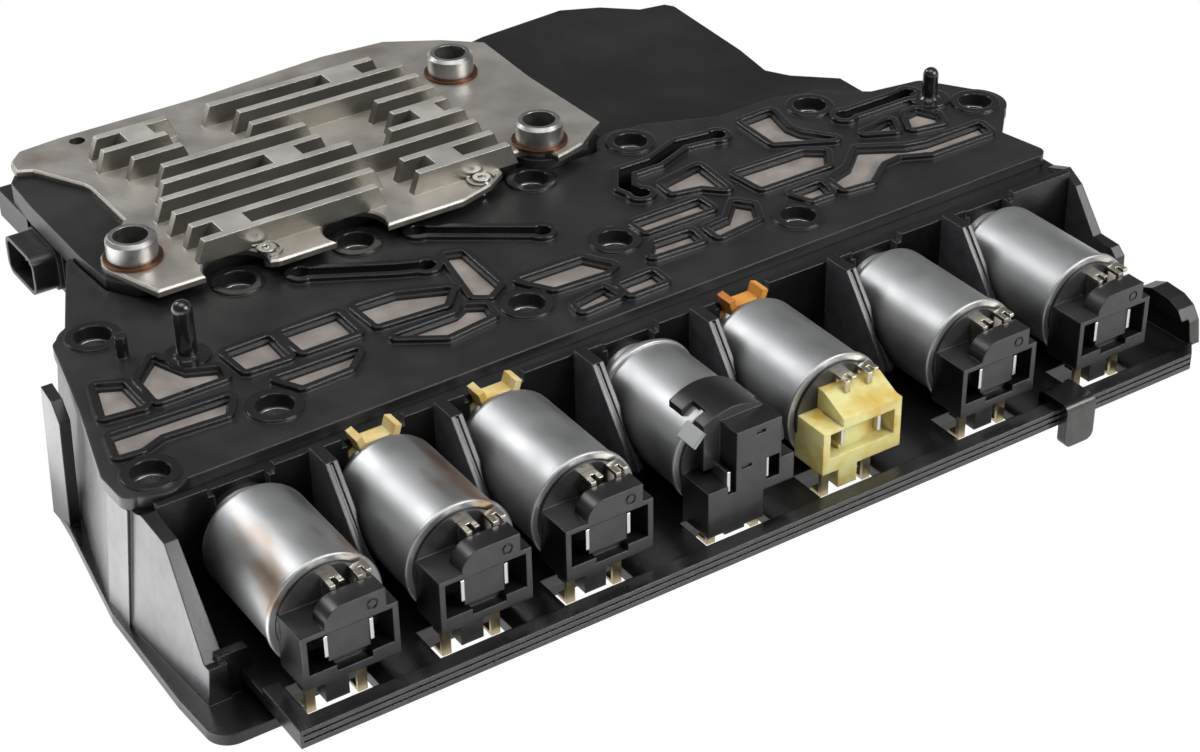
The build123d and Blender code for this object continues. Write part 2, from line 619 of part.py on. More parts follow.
def make_filter_plate():
    """The filter plate with its windows, beads, bosses, slots and posts."""
    top = PLATE_TOP
    plate = slab(make_plate_blank(), DECK_HEIGHT, top)
    for x, y in PLATE_HOLES:
        plate += drum(x, y, BOSS_R, DECK_HEIGHT, top + BOSS_RISE)
    for points in WINDOWS:
        outer = outline_face(points, BEAD_INSET + BEAD_WIDTH)
        plate += slab(outer - outline_face(points, BEAD_INSET), top, top + BEAD_HEIGHT)
    for points in SLOTS:
        plate += slab(slot_face(points, BEAD_WIDTH) - slot_face(points), top, top + BEAD_HEIGHT)
        plate -= slab(slot_face(points), DECK_HEIGHT, top + BEAD_HEIGHT)
    for points in WINDOWS:
        plate -= slab(outline_face(points), DECK_HEIGHT, top + BEAD_HEIGHT)
    for x, y, radius, rise in POSTS:
        collar_top = top + POST_COLLAR_RISE
        plate += drum(x, y, POST_COLLAR_R, DECK_HEIGHT, collar_top)
        plate += Pos(x, y, collar_top + POST_ROOT / 2) * Cone(radius + POST_ROOT, radius, POST_ROOT)
        plate += drum(x, y, radius, top, top + rise - radius)
        plate += Pos(x, y, top + rise - radius) * Sphere(radius)
    plate += drum(*STUB, STUB_R, top, top + STUB_RISE)
    for x, y in PLATE_HOLES:
        plate -= drum(x, y, PLATE_HOLE_R, DECK_HEIGHT, top + 2 * BEAD_HEIGHT)
    for x, y in BUSHINGS:
        plate -= drum(x, y, BUSHING_SHANK_R + TUB_COLUMN_WALL + LOOSE, DECK_HEIGHT, top + BOSS_RISE)
    return plate


def make_screens():
    """The filter screens, one in each window."""
    high = PLATE_TOP - SCREEN_DEPTH
    return Compound([
        Pos(Z=high - SCREEN_THICK) * extrude(outline_face(points, -SLIP), SCREEN_THICK)
        for points in WINDOWS
    ])


def make_fin(x0, x1, y0, y1):
    """One fin or raised land between two plan lines, sloped at its ends."""
    low, high = SINK_TOP - SLIP, SINK_TOP + FIN_HEIGHT
    outline = [(x0 - FIN_END_SLOPE, y0, low), (x0, y0, high), (x1, y0, high), (x1 + FIN_END_SLOPE, y0, low)]
    return extrude(make_face(Polyline(*outline, close=True)), y1 - y0, dir=(0, 1, 0))


def make_heat_sink():
    """The finned aluminium cover."""
    flange, land = outline_face(SINK_OUTLINE), outline_face(SINK_OUTLINE, -SINK_EDGE_CHAMFER)
    for x, y in PLATE_HOLES[3:6]:
        flange -= Pos(x, y) * Circle(SCALLOP_R)
        land -= Pos(x, y) * Circle(SCALLOP_R + SINK_EDGE_CHAMFER)
    sink = slab(flange, SINK_BOTTOM, SINK_TOP)
    sink = chamfer(sink.edges().group_by(Axis.Z)[-1], SINK_EDGE_CHAMFER)
    row_y = [FIN_FIRST_Y + row * FIN_PITCH for row in range(len(FINS))]
    for y, runs in zip(row_y, FINS):
        for x0, x1 in runs:
            sink += make_fin(x0, x1, y - FIN_THICK / 2, y + FIN_THICK / 2)
    for row, x0, x1 in LANDS:
        sink += make_fin(x0, x1, row_y[row - 1], row_y[row])
    for x, y in RIVETS:
        seat = Pos(x, y) * Circle(RIVET_SEAT_R) - Pos(x, y) * Circle(RIVET_SEAT_R - RIVET_SEAT_WALL)
        sink += slab(seat & land, SINK_TOP - SLIP, SINK_TOP + RIVET_SEAT_RISE)
    for x, y in BUSHINGS:
        sink -= drum(x, y, BUSHING_SHANK_R + SLIP, SINK_BOTTOM, SINK_TOP + FIN_HEIGHT)
    for x, y in RIVETS:
        sink -= drum(x, y, RIVET_SHANK_R + SLIP, SINK_BOTTOM, SINK_TOP)
    sink -= drum(*SINK_PINHOLE, SINK_PINHOLE_R, SINK_BOTTOM, SINK_TOP)
    return sink


def make_bushings():
    """The three steel mounting bushings."""
    low = SINK_BOTTOM - ELECTRONICS_RIM_DEPTH
    high = SINK_TOP + BUSHING_RISE
    sleeves = []
    for x, y in BUSHINGS:
        sleeve = drum(x, y, BUSHING_R, SINK_TOP, high) + drum(x, y, BUSHING_SHANK_R, low, SINK_TOP)
        sleeve = chamfer(sleeve.edges().group_by(Axis.Z)[-1], BUSHING_CHAMFER)
        sleeves.append(sleeve - drum(x, y, BUSHING_BORE_R, low, high))
    return Compound(sleeves)


def make_crush_rings():
    """Thin rings round the feet of the bushings."""
    inner = BUSHING_R + SLIP
    return Compound([
        drum(x, y, inner + CRUSH_RING_WIDTH, SINK_TOP, SINK_TOP + CRUSH_RING_THICK)
        - drum(x, y, inner, SINK_TOP, SINK_TOP + CRUSH_RING_THICK)
        for x, y in BUSHINGS
    ])


def make_rivets():
    """The tubular rivets in their round seats along the heat sink's front edge."""
    top = SINK_TOP + RIVET_HEAD_RISE
    rivets = []
    for x, y in RIVETS:
        rivet = drum(x, y, RIVET_SHANK_R, PLATE_TOP + BOSS_RISE, SINK_TOP)
        rivet += drum(x, y, RIVET_HEAD_R, SINK_TOP, top)
        rivets.append(rivet - drum(x, y, RIVET_HOLE_R, SINK_TOP, top))
    return Compound(rivets)


def make_electronics_housing():
    """The tub under the heat sink, with the arm that carries the harness socket."""
    rim_low = SINK_BOTTOM - RIM_THICK
    floor = BASE_TOP + LOOSE
    rim = outline_face(ELECTRONICS_OUTLINE)
    for x, y in PLATE_HOLES[3:7]:
        rim -= Pos(x, y) * Circle(LOBE_R + LOOSE)
    housing = slab(rim, rim_low, SINK_BOTTOM)
    x0, x1, y0, y1 = TUB
    housing += block(x0, x1, y0, y1, floor, rim_low)
    half_width, half_height = SOCKET_WIDTH / 2 + ARM_MARGIN, SOCKET_HEIGHT / 2 + ARM_MARGIN
    housing += block(SOCKET_ROOT_X, ARM_END_X, SOCKET_Y - half_width, SOCKET_Y + half_width,
                     SOCKET_Z - half_height, rim_low)
    housing += block(x0, ARM_END_X, y1 - WALL, SOCKET_Y, SOCKET_Z - half_height, rim_low)
    housing += block(*CORNER_WALL, rim_low)
    housing -= block(x0 + WALL, x1 - WALL, y0 + WALL, y1 - WALL, floor + WALL, SINK_BOTTOM)
    ledge = BOARD_THICK + BOARD_MARGIN
    housing -= block(x0 + BOARD_LEDGE, x1 - BOARD_LEDGE, y0 + BOARD_LEDGE, y1 - BOARD_LEDGE,
                     SINK_BOTTOM - ledge, SINK_BOTTOM)
    for x, y in BUSHINGS:
        housing += drum(x, y, BUSHING_SHANK_R + TUB_COLUMN_WALL, floor, SINK_BOTTOM)
    x, y = BUSHINGS[0]
    housing += block(x, x0 + WALL, y - TUB_WEB / 2, y + TUB_WEB / 2, floor, rim_low)
    for x, y in BUSHINGS:
        housing -= drum(x, y, BUSHING_SHANK_R + SLIP, SINK_BOTTOM - ELECTRONICS_RIM_DEPTH - SLIP, SINK_BOTTOM)
        housing -= drum(x, y, BUSHING_BORE_R, floor, SINK_BOTTOM)
    return housing


def make_circuit_board():
    """The board with its chips, notched round the bushing columns."""
    x0, x1, y0, y1 = TUB
    high = SINK_BOTTOM - BOARD_MARGIN
    low = high - BOARD_THICK
    edge = BOARD_LEDGE + LOOSE
    board = block(x0 + edge, x1 - edge, y0 + edge, y1 - edge, low, high)
    for x, y, width in CHIPS:
        board += block(x - width / 2, x + width / 2, y - CHIP_LENGTH / 2, y + CHIP_LENGTH / 2,
                       low - CHIP_RISE, low)
    for x, y in BUSHINGS:
        board -= drum(x, y, BUSHING_SHANK_R + TUB_COLUMN_WALL + LOOSE, low - CHIP_RISE, high)
    return board


def socket_prism(x0, x1, grow=0.0):
    """A block with the socket's rounded outline along X, grown or shrunk by a margin."""
    face = RectangleRounded(SOCKET_WIDTH + 2 * grow, SOCKET_HEIGHT + 2 * grow, SOCKET_CORNER_R + grow)
    plane = Plane(origin=(x0, SOCKET_Y, SOCKET_Z), x_dir=(0, 1, 0), z_dir=(1, 0, 0))
    return extrude(plane * face, x1 - x0)


def make_harness_socket():
    """The rounded rectangular socket with its floor."""
    shell = socket_prism(SOCKET_FACE_X, SOCKET_ROOT_X)
    return shell - socket_prism(SOCKET_FACE_X, SOCKET_ROOT_X - SOCKET_FLOOR, -SOCKET_WALL)


def make_socket_pins():
    """The pins that stand on the socket's floor, in two rows."""
    start, end = SOCKET_FACE_X + SOCKET_PIN_DEPTH, SOCKET_ROOT_X - SOCKET_FLOOR
    middle = (SOCKET_COLUMNS - 1) / 2
    pins = []
    for side in (-1, 1):
        for column in range(SOCKET_COLUMNS):
            place = Pos((start + end) / 2, SOCKET_Y + (column - middle) * SOCKET_PIN_PITCH,
                        SOCKET_Z + side * SOCKET_ROW_PITCH / 2)
            pins.append(place * Rot(Y=90) * Cylinder(SOCKET_PIN_R, end - start))
    return Compound(pins)


def make_socket_seal():
    """The flat gasket round the socket's root, against the arm."""
    start = SOCKET_ROOT_X - GASKET_THICK
    return socket_prism(start, SOCKET_ROOT_X, GASKET_RISE) - socket_prism(start, SOCKET_ROOT_X)


def make_hook():
    """The strap that hooks over the tray's front rim."""
    x0, x1 = HOOK_X
    rim_top = BASE_TOP + TRAY_RIM_RISE
    top = rim_top + HOOK_TOP_RISE
    front = TRAY_FRONT_Y - SLIP - HOOK_THICK
    rear = TRAY_FRONT_Y + HOOK_REAR_Y
    strap = block(x0, x1, front, rear + HOOK_THICK, rim_top, top)
    strap += block(x0, x1, rear, rear + HOOK_THICK, BASE_TOP, top)
    strap += block(x0, x1, front, front + HOOK_THICK, HOOK_BOTTOM, top)
    strap = fillet(strap.edges().filter_by(Axis.X).group_by(Axis.Z)[-1], HOOK_BEND_R)
    return fillet(strap.edges().filter_by(Axis.Y).group_by(Axis.Z)[0], HOOK_CORNER_R)


def make_tray_end():
    """The upright end of the tray with its inward lip."""
    x0, x1 = TRAY_END_X
    end = side_profile(TRAY_END_PROFILE, x0, x1)
    lip = side_profile(TRAY_END_PROFILE, TRAY_END_LIP_X, x1)
    return end + (lip & block(TRAY_END_LIP_X, x1, TRAY_FRONT_Y, TRAY_BACK_Y, TRAY_END_LIP_LOW, DECK_HEIGHT))


def make_tray():
    """The lead-frame tray with its windows, rim, hook and end wall."""
    left, right, front = TRAY_LEFT_X, TRAY_RIGHT_X, TRAY_FRONT_Y
    outline = [
        (left, front), (right - TRAY_CORNER, front), (right, front + TRAY_CORNER), (right, TRAY_BACK_Y),
        (left, TRAY_BACK_Y),
    ]
    tray = prism(outline, FOOT_DEPTH, BASE_TOP)
    rim_top = BASE_TOP + TRAY_RIM_RISE
    rim = prism(outline, BASE_TOP, rim_top)
    rim -= block(left + TRAY_RIM_WIDTH, right + WALL, front + TRAY_RIM_WIDTH, TRAY_BACK_Y, BASE_TOP, rim_top)
    rim -= block(left, right, TRAY_RIM_BACK_Y, TRAY_BACK_Y, BASE_TOP, rim_top)
    tray += rim
    for rise in TRAY_GROOVE_LEVELS:
        level = FOOT_DEPTH + rise
        tray -= block(left + TRAY_GROOVE, right - TRAY_CORNER, front, front + TRAY_GROOVE,
                      level, level + TRAY_GROOVE)
    x0, x1, y0, y1 = TRAY_WINDOW
    for x in SOLENOID_X:
        tray -= block(x + x0, x + x1, y0, y1, FOOT_DEPTH, BASE_TOP)
    return tray + make_tray_end() + make_hook()


def make_stake():
    """The steel tab that is bent forward over an end cap's edge."""
    tab = block(-STAKE_WIDTH / 2, STAKE_WIDTH / 2, -STAKE_REACH, RING_THICK, CAN_R, CAN_R + STAKE_THICK)
    return Rot(Y=STAKE_ANGLE) * tab


def make_can(hooded=False):
    """A drawn steel can with a rolled ring, a shoulder and a neck at its back."""
    shell = barrel(CAN_R, 0, CAN_LENGTH)
    shell = fillet(shell.edges().group_by(Axis.Y)[-1], CAN_SHOULDER)
    shell += barrel(NECK_R, CAN_LENGTH - NECK_OVERLAP, CAN_LENGTH + NECK_LENGTH)
    rings = (0, CAN_LENGTH - CAN_SHOULDER - RING_THICK) if hooded else (0,)
    for ring_y in rings:
        ring = barrel(RING_R, ring_y, ring_y + RING_THICK)
        shell += fillet(ring.edges(), RING_ROUND)
    if hooded:
        shell += make_stake()
    shell -= barrel(CAN_R - CAN_WALL, RING_THICK, CAN_LENGTH - CAN_WALL)
    shell -= barrel(CAN_R - RING_LIP, 0, RING_THICK)
    shell -= barrel(NOSE_R + SLIP, CAN_LENGTH - CAN_WALL, CAN_LENGTH + NECK_LENGTH)
    return shell


def make_coil():
    """Winding and bobbin as one sleeve round the armature's tube."""
    start = CAP_THICK + RING_THICK
    sleeve = barrel(CAN_R - CAN_WALL - SLIP, start, start + COIL_LENGTH)
    return sleeve - barrel(TUBE_R, start, start + COIL_LENGTH)


def make_armature():
    """The sliding plunger with its pin."""
    start = CAP_THICK + RING_THICK + SPRING_ROOM
    plunger = barrel(ARMATURE_R, start, start + ARMATURE_LENGTH)
    return plunger + barrel(ARMATURE_PIN_R, start, start + ARMATURE_LENGTH + ARMATURE_PIN_LENGTH)


def make_spring():
    """The return spring between the cap and the plunger."""
    start = CAP_THICK + RING_THICK + SPRING_WIRE_R + SLIP
    room = SPRING_ROOM - 2 * (SPRING_WIRE_R + SLIP)
    helix = Helix(room / SPRING_TURNS, room, SPRING_R)
    section = Plane(origin=helix @ 0, z_dir=helix % 0) * Circle(SPRING_WIRE_R)
    return Pos(Y=start) * Rot(X=-90) * sweep(section, path=helix)


def make_horns():
    """The two leaning horns that stand on a nose's collar."""
    rear = CAN_LENGTH + NECK_LENGTH
    x0, x1 = HORN_X
    front, back = rear - HORN_DEPTH, rear + NOSE_COLLAR_THICK
    half = HORN_WIDTH / 2
    middle = HORN_TOP - HORN_HEIGHT / 2
    horns = block(x0 + half, x1 - half, rear, back, NOSE_R, middle)
    horns += block(x0 + half, x1 - half, front, back, middle - HORN_BRIDGE, middle)
    for x, side in ((x0, -1), (x1, 1)):
        horn = block(-half, half, front - half, back, -HORN_HEIGHT / 2, HORN_HEIGHT / 2)
        horns += Pos(x, 0, middle) * Rot(Y=side * HORN_LEAN) * horn
    return horns - barrel(NECK_R + SLIP, 0, rear)


def make_nose(horned):
    """The valve nose that seats in the housing's wall, with two horns on some solenoids."""
    rear = CAN_LENGTH + NECK_LENGTH
    start = CAN_LENGTH - NOSE_ROOT
    nose = barrel(NOSE_R, start, rear + NOSE_REACH - NOSE_END_GAP)
    nose += barrel(NOSE_COLLAR_R, rear, rear + NOSE_COLLAR_THICK)
    if horned:
        nose += make_horns()
    for groove in NOSE_GROOVES:
        y0 = rear + NOSE_COLLAR_THICK + groove
        y1 = y0 + NOSE_GROOVE_WIDTH
        nose -= barrel(NOSE_R, y0, y1) - barrel(NOSE_R - NOSE_GROOVE_DEPTH, y0, y1)
    return nose - barrel(NOSE_BORE_R, start, rear + NOSE_REACH)


def cut_contact_room(box, top):
    """Cuts the two contact rooms into a connector box and leaves the pillar between them."""
    inner = BOX_WIDTH / 2 - BOX_WALL
    high = top - ROOM_TOP
    low, pillar_low = high - ROOM_HEIGHT, high - PILLAR_HEIGHT
    x0, x1 = PILLAR_X
    room = block(-inner, inner, -BOX_REACH, -BOX_REACH + ROOM_DEPTH, low, high)
    room -= block(x0, x1, -BOX_REACH + PILLAR_RECESS, 0, pillar_low, top)
    lip_back = -BOX_REACH + PILLAR_LIP_DEPTH
    room += block(x0 + PILLAR_LIP, x1, -BOX_REACH, lip_back, low - PILLAR_LIP, pillar_low)
    return box - room


def make_skirt(bottom):
    """The tongue and side stubs that hang from a connector box into the tray's window."""
    front, back = -BOX_REACH, -BOX_REACH + TONGUE_DEPTH
    skirt = block(*TONGUE_X, front, back, TONGUE_LOW, bottom)
    for x in LEG_X:
        skirt += block(x - STUB_WIDTH / 2, x + STUB_WIDTH / 2, front + STUB_SET_BACK, back,
                       bottom - STUB_DROP, bottom)
    return skirt


def make_plain_box():
    """The black connector box with its arched face plate."""
    bottom, top = BOX_BOTTOM, BOX_TOP
    half, front = BOX_WIDTH / 2, -BOX_REACH
    box = block(-half, half, front, 0, bottom, top)
    (x0, x1), arch_r = HUMP_X, HUMP_RISE
    box += block(x0 + arch_r, x1, front, front + HUMP_DEPTH, top, top + HUMP_RISE)
    box += barrel(arch_r, front, front + HUMP_DEPTH, x0 + arch_r, top)
    box -= barrel(FACE_MARK_R, front, front + MARK_DEPTH, MARK_X, MARK_Z)
    box += barrel(FACE_MARK_R - MARK_WALL, front, front + MARK_DEPTH, MARK_X, MARK_Z)
    return cut_contact_room(box, top) + make_skirt(bottom)


def make_nylon_box():
    """The nylon connector box with its sloped back block."""
    bottom, top = BOX_BOTTOM, BOX_TOP
    half, front = BOX_WIDTH / 2, -BOX_REACH
    x0, x1 = HUMP_X
    back_y, rise = NYLON_BACK
    box = block(-half, half, front, 0, bottom, top - NYLON_STEP)
    box += block(x0, half, front, 0, top - NYLON_STEP, top)
    slope = [(0, top), (front, top), (back_y, top + rise), (0, top + rise)]
    box += side_profile(slope, x0, x1 + NYLON_STEP)
    inner = half - NYLON_WALL
    room = block(-inner, inner, front, front + ROOM_DEPTH, *NYLON_ROOM_Z)
    room -= block(*PILLAR_X, front + NYLON_PILLAR_SET_BACK, 0, bottom, top)
    return box - room + make_skirt(bottom)


def make_tower():
    """The stepped block of the hooded connector, with its contact rooms and slits."""
    (tx0, tx1), tower_top = TOWER_X, TOWER_TOP
    half, front, back = BOX_WIDTH / 2, -BOX_REACH, TOWER_BACK
    deep = front + ROOM_DEPTH
    low, step = TOWER_LOW, TOWER_STEP
    arm_end, arm_low, arm_top = TOWER_ARM
    room_low, room_top = TOWER_ROOM_Z
    box = block(-half, TOWER_LEDGE_X, front, back, low, step)
    box += block(TONGUE_X[1], arm_end, front, back, arm_low, arm_top)
    box += block(tx0, tx1, front, back, step, tower_top)
    box -= block(PILLAR_X[1], tx1 - LOOSE, front, deep, room_low, room_top)
    box -= block(BLADE_X[0] - LOOSE, tx0, front, deep, room_low, step)
    for x0, x1, z in TOWER_SLITS:
        box -= block(x0, x1, front, front + SLIT_DEPTH, z, z + SLIT_HEIGHT)
    return box + block(*TONGUE_X, front, front + TONGUE_DEPTH, TONGUE_LOW, low)


def make_hooded_box():
    """The stepped black connector with a tower and a hood over the can."""
    hood = barrel(HOOD_R, HOOD_FRONT, HOOD_BACK) - barrel(CAN_R + SLIP, HOOD_FRONT, HOOD_BACK)
    hood += barrel(HOOD_R, HOOD_FRONT, TOWER_BACK)
    hood &= block(HOOD_LEFT, HOOD_R, HOOD_FRONT, HOOD_BACK, 0, HOOD_R)
    width, depth = HOOD_NOTCH
    hood -= block(HOOD_LEFT, HOOD_LEFT + width, TOWER_BACK, depth, 0, HOOD_R)
    hood -= barrel(RING_R + SLIP, -SLIP, RING_THICK + SLIP)
    return make_tower() + hood


CONNECTOR_BOXES = {"plain": make_plain_box, "nylon": make_nylon_box, "hooded": make_hooded_box}


def make_end_disc():
    """The moulded disc that closes a can."""
    disc = barrel(CAN_R - RING_LIP - SLIP, -CAP_RISE, RING_THICK)
    return disc + barrel(CAN_R - CAN_WALL - SLIP, RING_THICK, RING_THICK + CAP_THICK)


def cut_terminals(shape, lugged=True):
    """Lets the terminals into a moulded piece."""
    for terminal in make_blades() + make_legs() + (make_lugs() if lugged else []):
        shape -= terminal
    return shape


def make_cap(style):
    """The moulded end cap: its disc and connector box in one."""
    return cut_terminals(make_end_disc() + CONNECTOR_BOXES[style](), lugged=style != "hooded")


def make_lugs():
    """The two bent terminal lugs on an end cap's face, each forked at its front."""
    half, gap = LUG_WIDTH / 2, LUG_SLOT / 2
    foot = -CAP_RISE - LUG_THICK
    lugs = []
    for x in LUG_X:
        lug = block(x - half, x + half, foot, -CAP_RISE, LUG_LOW, LUG_TOP)
        lug += block(x - half, x + half, -LUG_REACH, foot, LUG_TOP - LUG_THICK, LUG_TOP)
        lug -= block(x - gap, x + gap, -LUG_REACH, foot - LUG_THICK, LUG_TOP - LUG_THICK, LUG_TOP)
        lug += block(x - half, x - gap, -LUG_REACH - LUG_THICK, -LUG_REACH, LUG_TOP - LUG_BEND, LUG_TOP)
        lugs.append(lug)
    return lugs


def make_blades():
    """The two upright contact blades beside a connector's pillar."""
    return [
        block(x - BLADE_THICK / 2, x + BLADE_THICK / 2, -BOX_REACH + BLADE_RECESS,
              -BOX_REACH + ROOM_DEPTH, *BLADE_Z)
        for x in BLADE_X
    ]


def make_legs():
    """The two contact legs that reach into the tray's window."""
    top = BOX_BOTTOM
    legs = []
    for x in LEG_X:
        x0, x1 = x - LEG_WIDTH / 2, x + LEG_WIDTH / 2
        front = -BOX_REACH + 0.5
        leg = block(x0, x1, front, front + LEG_THICK, top - LEG_DROP, top)
        leg += block(x0, x1, front, front + LEG_FOOT, top - LEG_DROP - LEG_THICK, top - LEG_DROP)
        legs.append(leg)
    return legs


def all_on_solenoids(maker, numbers):
    """One group of a terminal's copies on every solenoid."""
    return Compound([
        seat_solenoid(piece, number)
        for number in numbers for piece in maker()
    ])


def make_parts():
    """Every node of the module, by name."""
    numbers = range(len(SOLENOID_X))
    styles = {HOODED_NUMBER: "hooded", NYLON_NUMBER: "nylon"}
    lugged = [number for number in numbers if number != HOODED_NUMBER]
    parts = {
        "solenoid_housing": make_housing(),
        "bolt_sleeves": make_bolt_sleeves(),
        "filter_plate": make_filter_plate(),
        "filter_screens": make_screens(),
        "lead_frame_tray": make_tray(),
        "heat_sink": make_heat_sink(),
        "mounting_bushings": make_bushings(),
        "crush_rings": make_crush_rings(),
        "heat_sink_rivets": make_rivets(),
        "electronics_housing": make_electronics_housing(),
        "circuit_board": make_circuit_board(),
        "harness_socket": make_harness_socket(),
        "harness_socket_pins": make_socket_pins(),
        "harness_socket_seal": make_socket_seal(),
        "terminal_lugs": all_on_solenoids(make_lugs, lugged),
        "contact_blades": all_on_solenoids(make_blades, numbers),
        "contact_legs": all_on_solenoids(make_legs, numbers),
    }
    for number in numbers:
        name = f"solenoid_{number + 1}"
        pieces = {
            "can": make_can(hooded=number == HOODED_NUMBER),
            "connector": make_cap(styles.get(number, "plain")),
            "coil": make_coil(),
            "armature": make_armature(),
            "spring": make_spring(),
            "nose": make_nose(number in HORNED_NUMBERS),
        }
        if number == NYLON_NUMBER:
            pieces["end_disc"] = cut_terminals(make_end_disc())
            pieces["connector"] = cut_terminals(make_nylon_box() - make_end_disc())
        for piece, shape in pieces.items():
            parts[f"{name}_{piece}"] = seat_solenoid(shape, number)
    return parts


def main():
    os.makedirs("parts", exist_ok=True)
    shapes = make_parts()
    whole = Compound([shape for shape in shapes.values()]).bounding_box()
    shift = Pos(-(whole.min.X + whole.max.X) / 2, -(whole.min.Y + whole.max.Y) / 2, -whole.min.Z)
    for node, shape in shapes.items():
        export_step(shift * shape, f"parts/{node}.step")


main()
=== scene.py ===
"""Looks of the transmission control module: oily black mouldings, cast aluminium, drawn steel cans."""
import json
import math

import bpy
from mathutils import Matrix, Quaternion, Vector

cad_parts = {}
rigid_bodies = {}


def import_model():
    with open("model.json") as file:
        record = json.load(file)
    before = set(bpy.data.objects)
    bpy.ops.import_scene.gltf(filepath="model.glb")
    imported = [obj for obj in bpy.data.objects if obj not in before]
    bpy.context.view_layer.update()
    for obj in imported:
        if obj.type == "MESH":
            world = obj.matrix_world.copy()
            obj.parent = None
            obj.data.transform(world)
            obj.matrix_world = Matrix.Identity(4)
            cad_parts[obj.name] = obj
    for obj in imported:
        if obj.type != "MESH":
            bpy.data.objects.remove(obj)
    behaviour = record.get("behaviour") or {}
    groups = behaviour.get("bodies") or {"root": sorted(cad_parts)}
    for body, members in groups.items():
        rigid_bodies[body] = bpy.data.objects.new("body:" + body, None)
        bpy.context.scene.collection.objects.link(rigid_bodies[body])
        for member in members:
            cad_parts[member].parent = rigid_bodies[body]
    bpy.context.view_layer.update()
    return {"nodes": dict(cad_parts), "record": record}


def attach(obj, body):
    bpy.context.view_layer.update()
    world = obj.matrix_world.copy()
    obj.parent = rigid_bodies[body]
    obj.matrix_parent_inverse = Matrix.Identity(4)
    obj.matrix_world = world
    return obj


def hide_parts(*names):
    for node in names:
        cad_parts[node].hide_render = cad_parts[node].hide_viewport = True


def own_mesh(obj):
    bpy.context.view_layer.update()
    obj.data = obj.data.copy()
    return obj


MM = 0.001

# Camera in the row frame: place in metres, angles in degrees, lens and sensor in millimetres
CAMERA_PLACE = Vector((-231.04, -371.93, 275.92)) * MM
CAMERA_AZIMUTH = 33.24
CAMERA_ELEVATION = 32.90
CAMERA_ROLL = -0.92
CAMERA_LENS = 74.58
SENSOR_WIDTH = 36.0

# Radii of the edges that the shading rounds
MOULDED_EDGE = 0.35 * MM
BEAD_EDGE = 0.5 * MM
METAL_EDGE = 0.25 * MM

# Heights over which the plate turns from its flat to its beads and bosses
BEAD_START = 29.1 * MM
BEAD_FULL = 29.5 * MM

# Heights over which the fins turn from their sides to their tops with a painted highlight
RIDGE_START = 36.6 * MM
RIDGE_FULL = 37.1 * MM

# How wide the patches, stains and specks are
OIL_PATCH = 18 * MM
PLATE_PATCH = 14 * MM
SHEEN_SPECK = 2.5 * MM
CAST_STAIN_PATCH = 22 * MM
CAN_STAIN_PATCH = 13 * MM
GLOSS_PATCH = 9 * MM
FINE_GLOSS_PATCH = 3 * MM
CLOTH_PATCH = 7 * MM
NYLON_BLOTCH = 6 * MM

# How wide and how deep the grain of each skin is
MOULDED_GRAIN = 1.2 * MM
MOULDED_DEPTH = 0.02 * MM
PLATE_DEPTH = 0.025 * MM
CAST_GRAIN = 0.9 * MM
CAST_DEPTH = 0.05 * MM
CAN_GRAIN = 1.0 * MM
CAN_DEPTH = 0.006 * MM
NYLON_GRAIN = 2 * MM
NYLON_DEPTH = 0.05 * MM
THREAD_WIDTH = 0.35 * MM
THREAD_DEPTH = 0.08 * MM

# Shares by which stains and grain stretch along the cans
ALONG_STAIN = (1, 0.35, 1)
ALONG_GRAIN = (1, 0.12, 1)

# Optics
OILY_PLASTIC_IOR = 1.56
NYLON_SCATTER_RADIUS = (1.0, 0.7, 0.3)
NYLON_SCATTER_DEPTH = 1.5 * MM

# Base colours, linear
BLACK = (0.008, 0.008, 0.009)
BLACK_DUST = (0.016, 0.0155, 0.015)
BLACK_DEEP = (0.003, 0.003, 0.0034)
BLACK_FILM = (0.009, 0.0088, 0.0085)
# Painted sheen: lighter colours that stand in for light reflected on the front faces of the tray and
# connectors and on the left faces of the housing
FRONT_PAINTED_SHEEN = (0.048, 0.046, 0.043)
CONNECTOR_PAINTED_SHEEN = (0.034, 0.034, 0.035)
SIDE_PAINTED_SHEEN = (0.07, 0.07, 0.076)
CAST_LIGHT = (0.52, 0.495, 0.46)
CAST_STAIN = (0.33, 0.24, 0.17)
# Painted shade on the cast sides and a painted highlight on the fin tops
CAST_PAINTED_SHADE = (0.20, 0.19, 0.165)
CAST_RIDGE_PAINTED_HIGHLIGHT = (0.74, 0.715, 0.67)
STEEL = (0.42, 0.425, 0.43)
STEEL_STAIN = (0.24, 0.16, 0.10)
BRIGHT_STEEL = (0.66, 0.66, 0.65)
TURNED_STEEL = (0.40, 0.40, 0.39)
TIN = (0.62, 0.58, 0.50)
BRASS = (0.50, 0.42, 0.26)
COPPER = (0.50, 0.22, 0.12)
RING_BROWN = (0.15, 0.075, 0.045)
SCREEN_LIGHT = (0.29, 0.255, 0.235)
SCREEN_DARK = (0.19, 0.165, 0.15)
NYLON_PALE = (0.62, 0.58, 0.26)
NYLON_DEEP = (0.52, 0.34, 0.05)
HORN_PALE = (0.66, 0.55, 0.30)
AMBER = (0.60, 0.28, 0.05)
AMBER_BROWN = (0.42, 0.13, 0.03)
BOARD_GREEN = (0.02, 0.12, 0.05)
SEAL_BLACK = (0.012, 0.012, 0.012)
FLOOR_WHITE = (0.85, 0.85, 0.85)

# Solenoids whose cans are stained by heat, and those with paler noses than the rest
STAINED_CANS = ("solenoid_1_can", "solenoid_2_can")
PALE_NOSES = ("solenoid_2_nose", "solenoid_3_nose")

# Floor: width in metres and gap under the module
FLOOR_SIZE = 6
FLOOR_GAP = 0.2 * MM

